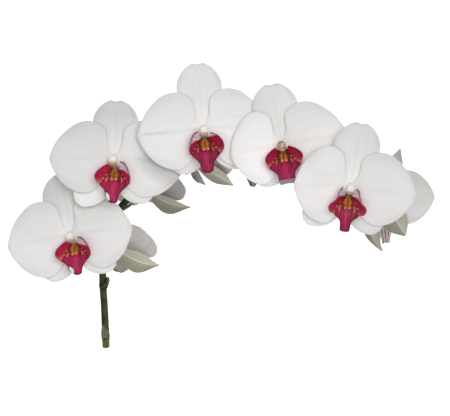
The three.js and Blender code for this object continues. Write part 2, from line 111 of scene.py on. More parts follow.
# Each bloom: place of its centre, spin in its own plane, tilt of its face and the
# compass direction it tilts toward, size, and where its stalk leaves the stem in
# points of the centre line. Petals and side sepals are listed left, then right.
# Shaded is painted shade: how much darker than usual both petals, the top sepal and both
# side sepals are painted. Back is how light the undersides of the petals, both side sepals
# and the top sepal are, on the blooms that face down: their own tone with painted shade
# in it. Under sets a painted shadow that the next bloom casts on the right petal, crease
# a painted shade along a fold of the left petal, and depth makes a lip darker.
BLOOMS = {
    "a": dict(
        at=(-138.1, -24.2, 98), spin=10, tilt=5, toward=180, leaves=5.2,
        petals=({}, dict(reach=0.95)),
        laterals=(dict(reach=0.87), dict(turn=-6, reach=0.93)),
        lip=dict(length=0.9, shift=(2, 0)), ears=(0, 1),
        tongue=dict(waist=1.06, tip=0.9, round_tip=3, curl=1),
        shaded=(0.02, 0.05, 0.07, 0, -0.04),
    ),
    "b": dict(
        at=(-98.8, 44.5, 112), spin=-2, tilt=5, toward=180, leaves=8.2,
        petals=(dict(height=0.94), dict(reach=1.1, bend=-6)),
        dorsal=dict(reach=0.93),
        laterals=({}, dict(turn=-5, reach=0.94)),
        lip=dict(shift=(2, -0.8)), ears=(0, 1), tongue=dict(tip=0.95, round_tip=3, curl=1),
        shaded=(0.08, 0.02, 0.07, -0.05, 0), under=0.28,
    ),
    "c": dict(
        at=(-19.5, 70.1, 120), spin=5, tilt=5, toward=0, leaves=9.3,
        petals=(dict(crease=3, ridge=-0.17), dict(bend=-4)),
        dorsal=dict(reach=1.06),
        laterals=(dict(reach=0.86), dict(turn=-13)),
        ears=(1, 0.35), tongue=dict(tip=1.2, round_tip=3),
        shaded=(0.01, 0, -0.04, 0.07, 0), depth=0.74, crease=(-28, -56, -0.5),
    ),
    "d": dict(
        at=(49.7, 55.9, 124), spin=9, tilt=4, toward=90, leaves=11.2,
        petals=(dict(reach=0.78, height=0.95), dict(reach=1.02, lift=2)),
        laterals=(dict(reach=0.77), dict(reach=0.7)),
        lip=dict(length=0.93, shift=(0, 2.2)), ears=(0, 0), tongue=dict(waist=1.2, tip=1.5, turned=1),
        shaded=(-0.11, 0.03, -0.01, 0, 0), depth=0.8, tan=1,
    ),
    "e": dict(
        at=(110, 19.4, 137), spin=-7, tilt=8, toward=-90, leaves=12.6,
        petals=(dict(reach=0.85, lift=-3, bend=4), dict(height=0.95)),
        dorsal=dict(turn=-3, reach=1.02),
        laterals=(dict(turn=-8, reach=0.97), dict(reach=0.92)),
        lip=dict(shift=(-0.8, 0)), ears=(0.8, 0.8), tongue=dict(waist=0.72, drop=2.4, round_tip=2),
        wings=1.5, shaded=(-0.02, 0.06, -0.02, 0, 0.12), depth=0.84,
    ),
    "f": dict(
        at=(147.9, 9.3, 20.306), spin=-17, tilt=30, toward=-60, size=0.82, leaves=14.6,
        petals=(dict(lift=16), {}),
        dorsal=dict(turn=-1, reach=1.05, width=0.55, sharp=0.9),
        laterals=(
            dict(turn=-9, width=0.85, sharp=0.6, slim=(1, 1.35)),
            dict(turn=46, reach=0.92, width=0.7, twist=25, bend=34, sharp=0.6, sag=-14, slim=(1.5, 1)),
        ),
        lip=dict(turn=-22, length=1.38), back=(1.14, 0.95, 0.8, 0.85), shaded=(0.1, 0.1, 0, 0, 0),
        clear=True,
    ),
    "g": dict(
        at=(-104.5, -34.1, 37.376), spin=34, tilt=60, toward=70, size=0.9, leaves=3.0,
        petals=(dict(reach=0.93, height=1.1, lift=8, bend=4), dict(lift=7, height=1.05, bend=-14)),
        laterals=(
            dict(turn=3, reach=0.93, width=1.05, twist=-18, sharp=0.8, sag=-6, slim=(0.8, 1)),
            dict(reach=0.88, bend=-3),
        ),
        back=(1, 1.1, 0.5, 0.9),
    ),
    "h": dict(
        at=(-76.3, 18.5, 35.682), spin=35, tilt=60, toward=70, size=0.9, leaves=6.8,
        petals=(dict(reach=0.9, lift=4, bend=2), dict(lift=24)),
        laterals=(
            dict(turn=1, reach=0.93, width=0.95, twist=-18, sharp=0.8, sag=-5, slim=(0.5, 1)),
            dict(reach=0.66, bend=9),
        ),
        back=(0.6, 0.78, 0.5, 0.8),
    ),
    "i": dict(
        at=(-32.5, 48.2, 33.417), spin=21, tilt=62, toward=57, size=0.9, leaves=8.8,
        petals=(dict(reach=0.98, lift=9), dict(reach=0.75, lift=16, bend=-6)),
        laterals=(
            dict(sharp=0.5, reach=0.97),
            dict(turn=15.5, reach=0.98, width=0.45, twist=4, bend=3.5, sharp=-1.6),
        ),
        back=(1, 0.88, 0.36, 0.8),
    ),
    "j": dict(
        at=(34, 53.2, 31.007), spin=0, tilt=52, toward=90, size=0.8, leaves=10.7,
        petals=({}, dict(reach=0.93)),
        laterals=({}, dict(turn=22, reach=0.85, width=0.8, bend=-18)),
        back=(0.7, 0.7, 0.62, 0.7),
    ),
}


def rotation(degrees, axis):
    """A turn about an axis."""
    return Matrix.Rotation(math.radians(degrees), 4, axis)


def placed(bloom):
    """The matrix that carries a bloom, drawn face up at the origin, to its place."""
    back = "back" in bloom
    toward = math.radians(bloom["toward"])
    hinge = Vector((-math.sin(toward), math.cos(toward), 0)) * (-1 if back else 1)
    place = Matrix.Translation(Vector(bloom["at"]) + VIEW_CENTRE)
    place = place @ rotation(bloom["tilt"], hinge) @ rotation(bloom["spin"], "Z")
    if back:
        place = place @ rotation(180, "Y")
    return place @ Matrix.Scale(bloom.get("size", 1), 4)


def clipped(value):
    """A number held between 0 and 1."""
    return min(1, max(0, value))


def bell(at, middle, width):
    """A smooth bump, 1 high at its middle."""
    return math.exp(-(((at - middle) / width) ** 2))


def line_through(points):
    """A smooth line through a few points, read at a share from 0 to 1."""
    points = [Vector(p) for p in points]

    def at(share):
        place = clipped(share) * (len(points) - 1)
        k = min(int(place), len(points) - 2)
        t = place - k
        here, there = points[k], points[k + 1]
        before = points[k - 1] if k else here * 2 - there
        after = points[k + 2] if k + 2 < len(points) else there * 2 - here
        leave, arrive = (there - before) / 2, (after - here) / 2
        cubic = here * 2 - there * 2 + leave + arrive
        square = there * 3 - here * 3 - leave * 2 - arrive
        return here + leave * t + square * (t * t) + cubic * (t * t * t)

    return at


def flat_line(points):
    """A smooth line through points of two numbers."""
    return line_through([(x, y, 0) for x, y in points])


def heading(line, at, step):
    """The direction in which a line runs."""
    return (line(at + step) - line(at - step)).normalized()


def square_to(ahead, side):
    """The part of a direction that is square to another."""
    return (side - ahead * side.dot(ahead)).normalized()


def spoke(ahead, side, turn):
    """A direction square to a line, turned about it from one side."""
    return side * math.cos(turn) + ahead.cross(side) * math.sin(turn)


def sheet_of(name, cells_u, cells_v, surface):
    """A grid whose points are carried to a surface; its UV map keeps u and v."""
    bpy.ops.object.select_all(action="DESELECT")
    bpy.ops.mesh.primitive_grid_add(x_subdivisions=cells_u, y_subdivisions=cells_v, size=1)
    piece = bpy.context.object
    piece.name = name
    for point in piece.data.vertices:
        point.co = surface(point.co.x + 0.5, point.co.y + 0.5) * MM
    return piece


def closed_body(piece, smooth=60):
    """Joins the long sides of a rolled sheet, closes its ends and smooths it."""
    bpy.ops.object.mode_set(mode="EDIT")
    bpy.ops.mesh.select_all(action="SELECT")
    bpy.ops.mesh.remove_doubles(threshold=2e-6)
    bpy.ops.mesh.select_all(action="DESELECT")
    bpy.ops.mesh.select_non_manifold()
    bpy.ops.mesh.fill_holes(sides=0)
    bpy.ops.mesh.select_all(action="SELECT")
    bpy.ops.mesh.normals_make_consistent(inside=False)
    bpy.ops.object.mode_set(mode="OBJECT")
    bpy.ops.object.shade_smooth_by_angle(angle=math.radians(smooth))
    return piece


def stalk(name, line, radius_at, rings, sides):
    """A round stalk along a line, with its own radius at each point."""
    hoops = []
    side = Vector((0, 0, 1))
    for i in range(rings + 1):
        ahead = heading(line, i / rings, 0.01)
        side = square_to(ahead, side)
        hoops.append((line(i / rings), ahead, side))

    def surface(u, v):
        centre, ahead, side = hoops[round(u * rings)]
        turn = 2 * math.pi * v
        return centre + spoke(ahead, side, turn) * radius_at(u, turn)

    return closed_body(sheet_of(name, rings, sides, surface))


def walled(piece, thickness, rear=0):
    """Gives a sheet an even wall; its rear may take the next finish."""
    wall = piece.modifiers.new("wall", "SOLIDIFY")
    wall.thickness = thickness * MM
    wall.offset = 0
    wall.material_offset = rear
    bpy.ops.object.modifier_apply(modifier="wall")


def papery(piece, finish):
    """Gives a sheet the wall and the finish of dry paper."""
    walled(piece, PAPER_WALL)
    bpy.ops.object.shade_smooth_by_angle(angle=math.radians(60))
    piece.data.materials.append(finish)
    return piece


def joined(name, parts):
    """One object from several, its place kept in its mesh."""
    bpy.ops.object.select_all(action="DESELECT")
    for part in parts:
        part.select_set(True)
    bpy.context.view_layer.objects.active = parts[0]
    bpy.ops.object.join()
    piece = bpy.context.object
    piece.name = name
    piece.data.name = name
    return piece


def kept_above(piece):
    """Raises what would dip below the surface back onto it."""
    for point in piece.data.vertices:
        point.co.z = max(point.co.z, LOWEST * MM)


def rgba(tone):
    """A colour with its alpha; one number is a grey, and a socket stays as it is."""
    if isinstance(tone, bpy.types.NodeSocket):
        return tone
    return (*tone, 1) if isinstance(tone, tuple) else (tone, tone, tone, 1)


class Finish:
    """A material in the making: its nodes, its one shader, its place in space and its UV map."""

    def __init__(self, name):
        self.made = bpy.data.materials.new(name)
        self.made.use_nodes = True
        self.tree = self.made.node_tree
        self.shader = self.tree.nodes["Principled BSDF"]
        self.place = self.add("TexCoord").outputs["Object"]
        self.uv = self.add("UVMap").outputs["UV"]
        self.along, self.across = self.add("SeparateXYZ", {0: self.uv}).outputs[:2]

    def feed(self, node, inputs):
        """Fills a node's inputs, each with a value or from another node's output."""
        for key, value in inputs.items():
            if isinstance(value, bpy.types.NodeSocket):
                self.tree.links.new(value, node.inputs[key])
            else:
                node.inputs[key].default_value = value
        return node

    def add(self, kind, inputs=None, **settings):
        """One node with its settings and inputs."""
        node = self.tree.nodes.new("ShaderNode" + kind)
        for key, value in settings.items():
            setattr(node, key, value)
        return self.feed(node, inputs or {})

    def maths(self, what, first, *others):
        """A sum of numbers or sockets, taken in turn."""
        for other in others or (0.0,):
            first = self.add("Math", {0: first, 1: other}, operation=what).outputs[0]
        return first

    def plus(self, *values):
        return self.maths("ADD", *values)

    def minus(self, first, second):
        return self.maths("SUBTRACT", first, second)

    def times(self, *values):
        return self.maths("MULTIPLY", *values)

    def least(self, *values):
        return self.maths("MINIMUM", *values)

    def rest(self, value):
        """What is left of 1."""
        return self.minus(1.0, value)

    def off_middle(self):
        """How far a point lies from the piece's long middle line."""
        return self.maths("ABSOLUTE", self.minus(self.across, 0.5))

    def ramp(self, factor, *stops):
        """A colour ramp through stops of place and tone."""
        node = self.add("ValToRGB", {"Fac": factor})
        points = node.color_ramp.elements
        while len(points) < len(stops):
            points.new(1)
        for point, (place, tone) in zip(points, stops):
            point.position = place
            point.color = rgba(tone)
        return node.outputs["Color"]

    def between(self, mottle, low, high):
        """Two tones or numbers that follow a mottling."""
        return self.ramp(mottle, (0.3, low), (0.7, high))

    def blend(self, factor, first, second, kind="MIX"):
        """Two colours mixed by a factor."""
        inputs = {0: factor, 6: rgba(first), 7: rgba(second)}
        return self.add("Mix", inputs, data_type="RGBA", blend_type=kind).outputs[2]

    def dimmed(self, tone, light):
        """A tone times a number."""
        return self.blend(1.0, tone, light, "MULTIPLY")

    def noise(self, scale, detail=3, rough=0.55):
        """Soft random mottling, read as a number round a half."""
        inputs = {"Vector": self.place, "Scale": scale, "Detail": detail, "Roughness": rough}
        return self.add("TexNoise", inputs).outputs[0]

    def streaks(self, along, across, detail=3, uneven=0.3):
        """Soft streaks that run from the base of a piece to its tip."""
        drawn = self.add("Mapping", {0: self.uv, 3: (along, across, 1)}).outputs[0]
        inputs = {"Vector": drawn, "Scale": 1.0, "Detail": detail, "Distortion": uneven}
        return self.add("TexNoise", inputs).outputs[0]

    def noted(self, name):
        """A number noted on the piece's points."""
        return self.add("Attribute", attribute_name=name).outputs["Fac"]

    def coated(self, tone, rough, relief, depth, strength, specular=0.5, sheen=0.0):
        """The finished material: its colour, its gloss and its relief, in millimetres."""
        bumps = {"Height": relief, "Distance": depth * MM, "Strength": strength}
        surface = {"Base Color": tone, "Roughness": rough, "Normal": self.add("Bump", bumps).outputs[0]}
        self.feed(self.shader, {**surface, "Specular IOR Level": specular, "Sheen Weight": sheen})
        return self.made


def green_stem_finish():
    """Dark streaked green with a painted highlight along its upper side, paler at the cut end, with brown
    marks.
    """
    f = Finish("fleshy_green_stem")
    streaks, mottle = f.streaks(40, 7, 4, 0), f.noise(90, 4)
    dark, middle, light = (0.004, 0.006, 0.001), (0.013, 0.018, 0.002), (0.045, 0.055, 0.01)
    tone = f.ramp(streaks, (0.32, dark), (0.52, middle), (0.7, light))
    # A painted highlight along the stem's upper side, where the light falls.
    facing = f.maths("COSINE", f.times(f.plus(f.across, -0.05), 2 * math.pi))
    painted_highlight = f.times(f.ramp(facing, (0.62, 0.0), (0.95, 0.8)), f.ramp(mottle, (0.4, 1.0), (0.65, 0.2)))
    tone = f.blend(painted_highlight, tone, (0.085, 0.095, 0.028))
    low = f.between(streaks, (0.055, 0.08, 0.02), (0.16, 0.2, 0.07))
    tone = f.blend(f.ramp(f.along, (0.037, 0.9), (0.041, 0.0)), tone, low)
    tone = f.blend(f.ramp(mottle, (0.45, 0.0), (0.75, 0.5)), tone, (0.04, 0.028, 0.008))
    return f.coated(tone, f.between(mottle, 0.48, 0.66), f.plus(streaks, mottle), 0.2, 0.6, specular=0.12)


def pale_stalk_finish():
    """Dark where it leaves the stem, then brown and green to a nearly white ovary."""
    f = Finish("pale_green_stalk")
    streaks = f.streaks(8, 7, 3, 0)
    foot, brown = (0.03, 0.035, 0.008), (0.09, 0.075, 0.025)
    green, pale = (0.28, 0.3, 0.14), (0.55, 0.56, 0.4)
    tone = f.ramp(f.along, (0.0, foot), (0.25, brown), (0.6, green), (1.0, pale))
    tone = f.blend(f.ramp(streaks, (0.35, 0.0), (0.7, 0.45)), tone, (0.11, 0.075, 0.035))
    return f.coated(tone, f.between(streaks, 0.4, 0.6), f.plus(streaks, f.noise(200)), 0.15, 0.6)


def dry_paper_finish(name, light):
    """Straw fibres, darker along both edges and at the foot."""
    f = Finish(name)
    fibres = f.streaks(3, 40, 3, 0)
    brown, straw, pale = (0.2, 0.17, 0.08), (0.36, 0.34, 0.2), (0.48, 0.46, 0.32)
    tone = f.ramp(fibres, (0.3, brown), (0.55, straw), (0.75, pale))
    edge = f.least(f.across, f.rest(f.across))
    tone = f.blend(f.ramp(edge, (0.2, 0.9), (0.4, 0.0)), tone, (0.05, 0.06, 0.015))
    tone = f.blend(f.ramp(f.along, (0.0, 1.0), (0.08, 1.0), (0.2, 0.0)), tone, (0.015, 0.018, 0.004))
    return f.coated(f.dimmed(tone, light), 0.75, fibres, 0.2, 0.8)


per_point = 1 / (len(STEM_LINE) - 1)
stem_line = line_through([Vector(p[:3]) + VIEW_CENTRE for p in STEM_LINE])
stem_radii = flat_line([(p[3], 0) for p in STEM_LINE])
swellings = [STEM["bare_node"]] + sorted(bloom["leaves"] for bloom in BLOOMS.values())


def stem_radius(u, turn):
    """The shoot's radius: faintly ribbed, and thicker where something grows from it."""
    swell = STEM["swell"] * sum(bell(u / per_point, node, 0.14) for node in swellings)
    ribs = STEM["rib"] * math.sin(5 * turn + 9 * u)
    return STEM["plump"] * stem_radii(u).x + min(swell, STEM["most_swell"]) + ribs


def sheath_surface(u, v):
    """A scale rolled once round the stem, longest opposite its slit."""
    turn = 2 * math.pi * (v - 0.5) * SHEATH["roll"]
    reach = 0.12 + 0.88 * max(0, 1 - abs(turn) / 2.6)
    share = (SHEATH["from"] + (SHEATH["to"] - SHEATH["from"]) * u * reach) * per_point
    ahead = heading(stem_line, share, 0.003)
    puff = SHEATH["swell"] * (0.25 + 0.5 * math.sin(math.pi * u)) * reach + 0.12 * v
    out = spoke(ahead, square_to(ahead, Vector((0, 0, 1))), turn - SHEATH["slit"])
    return stem_line(share) + out * (STEM["plump"] * stem_radii(share).x + puff)


def bract(name, finish, node, toward, length=7, spread=1.3, flare=2, bulge=0):
    """A small pointed scale that hugs the stem, below a stalk or on its own."""
    start = stem_line(node * per_point)
    ahead = heading(stem_line, node * per_point, 0.02 * per_point)
    side = square_to(ahead, toward)
    snug = STEM["plump"] * stem_radii(node * per_point).x + PAPER_WALL

    def surface(u, v):
        turn = spread * (2 * v - 1) * math.sqrt(max(0.02, 1 - u))
        reach = snug + flare * math.sin(1.57 * u) + bulge * math.sin(math.pi * u)
        return start + ahead * (length * (u - 0.45)) + spoke(ahead, side, turn) * reach

    return papery(sheet_of(name, 10, 12, surface), finish)


shoot = stalk("flower_stem", stem_line, stem_radius, 280, 22)
kept_above(shoot)
shoot.data.materials.append(green_stem_finish())
sheath_paper = dry_paper_finish("dry_papery_sheath", SHEATH["light"])
sheath = papery(sheet_of("stem_sheath", 16, 28, sheath_surface), sheath_paper)

stalk_radii = flat_line(STALK_RADII)


def stalk_radius(u, turn):
    """A stalk's radius: round and slim, then ribbed as it thickens into the ovary."""
    return stalk_radii(u).x + OVARY_RIB * math.cos(6 * turn) * max(0, u - 0.5)


stalk_coat, bract_paper = pale_stalk_finish(), dry_paper_finish("brown_dry_bract", BRACT_LIGHT)
stalks, bracts = [], []
for letter, bloom in BLOOMS.items():
    place, node = placed(bloom), bloom["leaves"] * per_point
    end = place @ Vector((0, 0, -RECEPTACLE_DEPTH - STALK_GAP))
    behind = place @ Vector((0, 0, -RECEPTACLE_DEPTH - STALK_GAP - OVARY_LENGTH))
    start = stem_line(node)
    leave = start + heading(stem_line, node, 0.05 * per_point) * STALK_LEAVE
    leave = leave.lerp(behind, 0.25)
    line = line_through([start, leave, behind, end])
    piece = stalk("stalk_" + letter, line, stalk_radius, 26, 18)
    piece.data.materials.append(stalk_coat)
    stalks.append(piece)
    bracts.append(bract("bract_" + letter, bract_paper, bloom["leaves"], leave - start))
low_side, upper_side = Vector((1, 0, 0.5)), Vector((0.75, -0.65, 0.3))
bracts.append(bract("low_bract", bract_paper, 3.2, low_side, 10, 1.25, 0.4, 2.2))
bracts.append(bract("upper_bract", bract_paper, 6.9, upper_side, 12, 1.25, 3.4))
stalks, bracts = joined("bloom_stalks", stalks), joined("stalk_bracts", bracts)
for piece in (shoot, sheath, stalks, bracts):
    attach(piece, "root")
    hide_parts("stem")

# The white flower bodies: two broad petals and three sepals, thin and waxy, grown
# with the column and the receptacle as one piece. The petals lie over the sepals,
# each arched with a weak crease along its middle and a softly waved edge.
PETAL_UPPER = [(2, 3), (7, 14), (8.5, 27), (21, 34.5), (35, 32), (48, 20.5), (55, 9), (57.5, 1)]
PETAL_LOWER = [(2, -2), (6, -13), (12, -26), (23, -34.5), (36, -32), (47, -24), (55, -12), (57.5, -5)]
PETAL = {
    "arch": 3, "reflex": 2.5, "wave": 1.2, "ruffle": 0.35, "fold": 0.5, "swell": 0.45,
    "front": 1.4, "tip_bow": 1.2, "wall": 0.7, "cells": (22, 18),
}
DORSAL_HALF = [(0, 4.5), (9, 9), (19, 15.5), (29, 19.8), (38, 20.4), (46, 17), (52, 11.5), (55.6, 5)]
LATERAL_HALF = [(0, 4), (9, 8), (19, 13), (29, 15.8), (38, 15), (45, 11.5), (50, 7), (52.5, 3)]
SEPAL = {
    "behind": -1.2, "rooted": 2.1, "cup": 1.4, "wave": 0.7, "ruffle": 0.3, "crease": 0.5,
    "notch": 1.2, "point": 6, "angle": 144, "wall": 0.7, "cells": (18, 14),
}
COLUMN_PROFILE = [
    (0, -1), (3.7, 0), (3.3, 3.5), (3.2, 5.75), (3.5, 8), (3.6, 9.8), (3.0, 11), (1.6, 11.5), (0, 11.6),
]
COLUMN_TILT = 22
CAP_PROFILE = [(0, -2.4), (2.2, -2.1), (3.2, -0.9), (3.5, 0.4), (3.0, 1.5), (1.6, 2.1), (0, 2.3)]
CAP_PLACE = (0, -1.0, 9.6)
RECEPTACLE_PROFILE = [
    (0, -4.5), (2.4, -4.5), (3.12, -4.2), (4.4, -2.8), (5.2, -1.5),
    (4.7, -0.8), (3.5, 0.3), (2.4, 1.3), (0, 2),
]
FOOT_PROFILE = [(0, -3.2), (2.2, -2), (4, 0), (3.9, 1.2), (2.8, 2.56), (1.2, 3.1), (0, 3.2)]
FOOT_PLACE = (0, -6.5, 0.6)
upper_line, lower_line = flat_line(PETAL_UPPER), flat_line(PETAL_LOWER)
dorsal_line, lateral_line = flat_line(DORSAL_HALF), flat_line(LATERAL_HALF)


def petal_surface(side, phase, reach=1, height=1, lift=0, bend=0, crease=1, ridge=0):
    """A petal from its claw to its tip, v running from its lower to its upper edge."""
    lifted = rotation(lift, "Z")

    def surface(u, v):
        across, arched = 2 * v - 1, math.sin(math.pi * u)
        point = lower_line(u).lerp(upper_line(u), v)
        point.x += PETAL["tip_bow"] * (1 - across * across) * u**4
        wave = math.sin(2.5 * math.pi * u + (0.4 if v > 0.5 else 2.2)) * across**4 * clipped(3 * u)
        ruffle = math.sin(7 * math.pi * u + phase + 2 * v) * across**6 * clipped(2 * u)
        fold = crease * bell(across, ridge, 0.09) * (1 - u) * clipped(6 * u)
        swell = math.sin(2 * math.pi * u + phase) * math.sin(2.2 * across + 0.6 * phase) * arched
        rise = PETAL["front"] + PETAL["arch"] * arched * (1 - 0.8 * across * across)
        rise += PETAL["wave"] * wave + PETAL["ruffle"] * ruffle - PETAL["fold"] * fold
        rise += PETAL["swell"] * swell + (bend - PETAL["reflex"]) * u * u
        point = lifted @ Vector((point.x * reach, point.y * height, rise))
        point.x *= side
        return point

    return surface


def sepal_surface(
    edge, side, angle, phase, notch=0, reach=1, width=1, bend=0, twist=0, turn=0, sharp=0, sag=0, slim=(1, 1)
):
    """A sepal straight out from the centre, widest past its middle and slightly cupped."""
    swing = rotation(side * (angle + turn), "Z")

    def surface(u, v):
        across = 2 * v - 1
        along, half, _ = edge(u)
        along += (sharp * SEPAL["point"] - notch * (1 - abs(across))) * u**8
        half *= width * (1 - 0.8 * sharp * u**5) * (slim[0] if across < 0 else slim[1])
        wave = math.sin(3 * math.pi * u + (0 if across > 0 else 1.4)) * across**4 * u
        ruffle = math.sin(8 * math.pi * u + phase) * across**6 * u
        crease = bell(across, 0, 0.12) * (1 - 0.6 * u) * clipped(5 * u)
        rise = SEPAL["wave"] * wave + SEPAL["ruffle"] * ruffle - SEPAL["crease"] * crease
        rise -= SEPAL["cup"] * across * across * math.sin(math.pi * u)
        point = Vector((4 * sag * u * (1 - u) - across * half, 0, rise))
        point = rotation(twist * clipped(2 * u), "Y") @ point
        back = SEPAL["behind"] + SEPAL["rooted"] * bell(u, 0, 0.14) + bend * u * u
        return swing @ (point + Vector((0, along * reach, back)))

    return surface


def note(piece, name, values):
    """Notes one number at each point of a piece."""
    piece.data.attributes.new(name, "FLOAT", "POINT").data.foreach_set("value", values)


def mark(piece, place, **notes):
    """Notes numbers at every point, each fixed or found from the place in the bloom's own frame."""
    home = place.inverted()
    points = [home @ (point.co / MM) for point in piece.data.vertices]
    for name, value in notes.items():
        note(piece, name, [value(p) if callable(value) else value for p in points])


def blade(name, cells, surface, wall, place, front, back, flip=False, **notes):
    """A thin leaf of even thickness with its own finish on each side."""
    piece = sheet_of(name, cells[0], cells[1], lambda u, v: place @ surface(u, v))
    if flip:
        bpy.ops.object.mode_set(mode="EDIT")
        bpy.ops.mesh.select_all(action="SELECT")
        bpy.ops.mesh.flip_normals()
        bpy.ops.object.mode_set(mode="OBJECT")
    piece.data.materials.append(front)
    piece.data.materials.append(back)
    walled(piece, wall, rear=1)
    round_off = piece.modifiers.new("round_off", "SUBSURF")
    round_off.levels = round_off.render_levels = 1
    bpy.ops.object.modifier_apply(modifier="round_off")
    bpy.ops.object.shade_smooth()
    mark(piece, place, **notes)
    return piece


def lathed(name, profile, place, finish, inner=Matrix(), **notes):
    """A rounded body turned about its own axis from a line of radius and height."""
    outline = flat_line(profile)

    def surface(u, v):
        radius, height, _ = outline(u)
        turn = 2 * math.pi * v
        radius = max(radius, 0)
        return place @ inner @ Vector((radius * math.cos(turn), radius * math.sin(turn), height))

    piece = closed_body(sheet_of(name, 26, 24, surface), smooth=80)
    piece.data.materials.append(finish)
    mark(piece, place, **notes)
    return piece


def petal_finish(name, back=False):
    """White with faint veins and painted shade in front; behind, greyer petals and green streaked sepals,
    half in painted shadow.
    """
    f = Finish(name)
    fine = f.ramp(f.streaks(2.2, 34), (0.5, 0.0), (0.68, 1.0))
    broad = f.streaks(1.6, 9)
    rib = f.ramp(f.off_middle(), (0.0, 1.0), (0.05, 0.0))
    edge = f.least(f.across, f.rest(f.across), f.rest(f.along))
    rim = f.ramp(edge, (0.0, 1.0), (0.02, 0.0))
    if back:
        sepal = f.noted("sepal")
        grey = f.between(broad, (0.53, 0.495, 0.475), (0.63, 0.6, 0.58))
        grey = f.blend(f.times(fine, 0.3), grey, (0.4, 0.37, 0.34))
        green = f.between(broad, (0.47, 0.43, 0.36), (0.62, 0.59, 0.5))
        green = f.blend(f.times(fine, 0.35), green, (0.3, 0.28, 0.19))
        green = f.blend(f.ramp(f.along, (0.1, 0.7), (0.6, 0.0)), green, (0.42, 0.41, 0.25))
        # Painted shadow over one half of each sepal's back.
        shadow = f.ramp(f.across, (0.49, 0.0), (0.55, 0.6), (0.92, 0.9))
        green = f.blend(shadow, green, (0.27, 0.255, 0.17))
        tone = f.blend(sepal, grey, green)
        tone = f.blend(f.times(rib, sepal, 0.9), tone, (0.74, 0.72, 0.54))
        tone = f.blend(f.times(rim, 0.5), tone, (0.26, 0.23, 0.19))
        # Each underside's own tone with painted shade in it, noted per bloom.
        tone = f.dimmed(tone, f.noted("back_tone"))
    else:
        tone = f.between(f.noise(22), (0.85, 0.835, 0.815), (0.91, 0.9, 0.885))
        veins = f.times(fine, f.ramp(f.along, (0.06, 0.0), (0.34, 0.12)))
        tone = f.blend(veins, tone, (0.66, 0.65, 0.65))
        bands = f.times(f.ramp(broad, (0.4, 0.0), (0.7, 1.0)), 0.14)
        tone = f.blend(bands, tone, (0.68, 0.68, 0.69))
        tone = f.blend(f.times(rib, f.rest(f.along), 0.35), tone, (0.66, 0.66, 0.63))
        tone = f.blend(f.noted("blush"), tone, (0.8, 0.62, 0.68))
        # A thin painted shade along the very edge, where the petal curves away from the light.
        tone = f.blend(f.times(rim, 0.05), tone, (0.5, 0.48, 0.48))
        # Painted shade in a wider band toward the edges and tip of the outer part.
        edge_shade = f.times(f.ramp(edge, (0.0, 0.2), (0.2, 0.0)), f.ramp(f.along, (0.3, 0.0), (0.6, 1.0)))
        tone = f.blend(edge_shade, tone, (0.46, 0.45, 0.45))
        # Painted shade along a fold of one petal.
        tone = f.blend(f.times(f.noted("crease_shade"), 0.45), tone, (0.42, 0.41, 0.4))
        # Painted shade: darker by the amount noted on each point.
        tone = f.dimmed(tone, f.rest(f.noted("dim")))
    relief = f.times(fine, f.ramp(f.along, (0.06, 0.0), (0.34, 0.6)))
    relief = f.plus(relief, f.times(f.noise(900, 2), 0.35), f.times(broad, 1.2))
    return f.coated(tone, f.between(f.noise(60, 2), 0.48, 0.64), relief, 0.22, 0.7, sheen=0.08)


def column_finish():
    """White at the back, tan and dark red towards the throat, partly painted shade of the hollow; one
    bloom's is tan with brown spots.
    """
    f = Finish("waxy_column_and_cap")
    mottle = f.noise(300)
    white, cream, shell = (0.82, 0.8, 0.78), (0.88, 0.85, 0.77), (0.88, 0.81, 0.7)
    sand, brown, rust, red = (0.6, 0.43, 0.32), (0.46, 0.29, 0.19), (0.4, 0.22, 0.13), (0.12, 0.025, 0.015)
    # Towards the throat the colour darkens: partly the column's own tan and partly painted shade of the
    # hollow below its hood.
    tone = f.ramp(
        f.noted("front"), (0.0, white), (0.3, cream), (0.5, shell), (0.57, sand), (0.72, brown), (0.9, rust),
        (1.0, red),
    )
    tone = f.blend(f.ramp(mottle, (0.5, 0.0), (0.8, 0.35)), tone, (0.72, 0.6, 0.5))
    spots = f.ramp(f.noise(620, 2), (0.44, 0.0), (0.58, 0.9))
    tan = f.blend(spots, (0.68, 0.44, 0.29), (0.2, 0.1, 0.055))
    tone = f.blend(f.noted("tan"), tone, tan)
    return f.coated(tone, f.between(mottle, 0.32, 0.5), mottle, 0.1, 0.7)


def receptacle_finish():
    """Pale green behind, white in front."""
    f = Finish("pale_green_receptacle")
    mottle = f.noise(180)
    tone = f.between(mottle, (0.42, 0.43, 0.25), (0.55, 0.56, 0.4))
    tone = f.blend(f.ramp(f.noted("front"), (0.4, 0.0), (0.52, 1.0)), tone, (0.86, 0.84, 0.81))
    return f.coated(tone, f.between(mottle, 0.45, 0.6), mottle, 0.12, 0.6)


def blush_at(point):
    """Pink round the lip, fading over a few millimetres."""
    far = math.hypot(point.x / 16, (point.y + 13) / 12)
    return 0.35 * clipped((1.35 - far) / 0.45) ** 1.5


def crease_shade_at(point, crease):
    """Painted shade along a sharp fold part way along one petal, given as its two ends and its height."""
    inner, outer, height = crease
    return clipped((point.x - outer) / 6) * clipped((inner - point.x) / 12) * bell(point.y, height, 0.9)


def upper_shade(point):
    """Painted shade: the upper half of a petal leans away from the light."""
    return 0.11 * clipped((point.y + 8) / 38)


def far_shade(point):
    """Painted shade on a top sepal: in the light at its base, darker as it leans back toward its tip."""
    return 1.35 * clipped((point.y - 6) / 34)


def cast_shade(point):
    """Painted shadow on the part of a right petal that lies in the shadow of the bloom that comes next."""
    below = 0.57 * (point.x - 28.4) + 0.82 * (point.y + 1.8)
    return clipped((point.x - 16) / 12) * clipped((8 - point.y) / 10) * clipped(1 + below / 12)


def front_at(point):
    """How far forward a point of the column lies, from its back to the throat."""
    return (4 - point.y) / 14


def receptacle_front(point):
    """How far forward a point of the receptacle lies, from the stalk to the petals."""
    return (point.z + RECEPTACLE_DEPTH) / (2 * RECEPTACLE_DEPTH)


